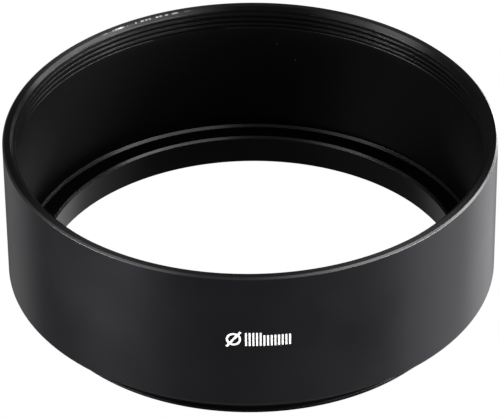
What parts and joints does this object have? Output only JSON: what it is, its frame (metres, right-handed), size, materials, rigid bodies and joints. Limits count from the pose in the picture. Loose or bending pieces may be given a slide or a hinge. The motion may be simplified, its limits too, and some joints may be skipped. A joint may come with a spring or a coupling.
{
  "type": "lens hood",
  "caption": "Short tubular screw-in lens hood: black metal barrel, male filter thread at the rear, female filter thread inside the front rim.",
  "frame": {"origin": "on the optical axis, in the plane of the mounting ring's rear edge, which the hood stands on", "axes": "+Z along the optical axis from the rear male thread to the front rim; the size mark faces -Y; +X is to the right as the mark is read"},
  "size_m": [0.0646, 0.0646, 0.0238],
  "materials": {
    "barrel": "black anodised, satin outside and matte inside",
    "ring": "black anodised, matte",
    "ink": "white printing ink"
  },
  "bodies": {
    "root": {"hood_barrel": "barrel", "mount_ring": "ring", "size_mark": "ink"}
  },
  "joints": []
}
